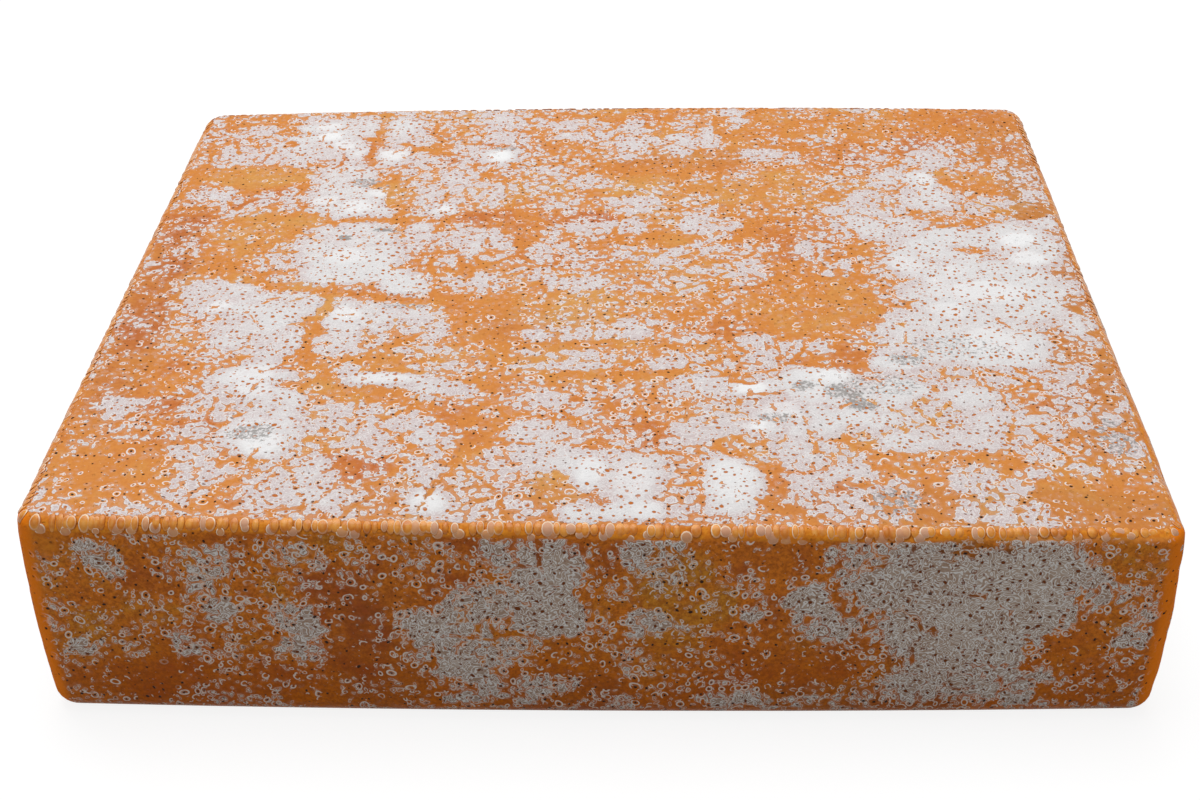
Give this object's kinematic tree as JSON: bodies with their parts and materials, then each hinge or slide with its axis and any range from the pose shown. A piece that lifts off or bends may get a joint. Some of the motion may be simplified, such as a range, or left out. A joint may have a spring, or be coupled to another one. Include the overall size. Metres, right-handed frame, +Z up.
{
  "type": "raclette cheese",
  "caption": "Whole square washed-rind cheese: a low slab with rounded corners and rims, bowed walls and a slightly uneven top.",
  "frame": {"origin": "middle of the flat underside", "axes": "+X to the right along the longer sides, +Y to the back, +Z up"},
  "size_m": [0.3026, 0.2616, 0.0658],
  "materials": {
    "rind": "orange washed rind with patches of dry white bloom, satin where bare"
  },
  "bodies": {
    "root": {"cheese_block": "rind"}
  },
  "joints": []
}
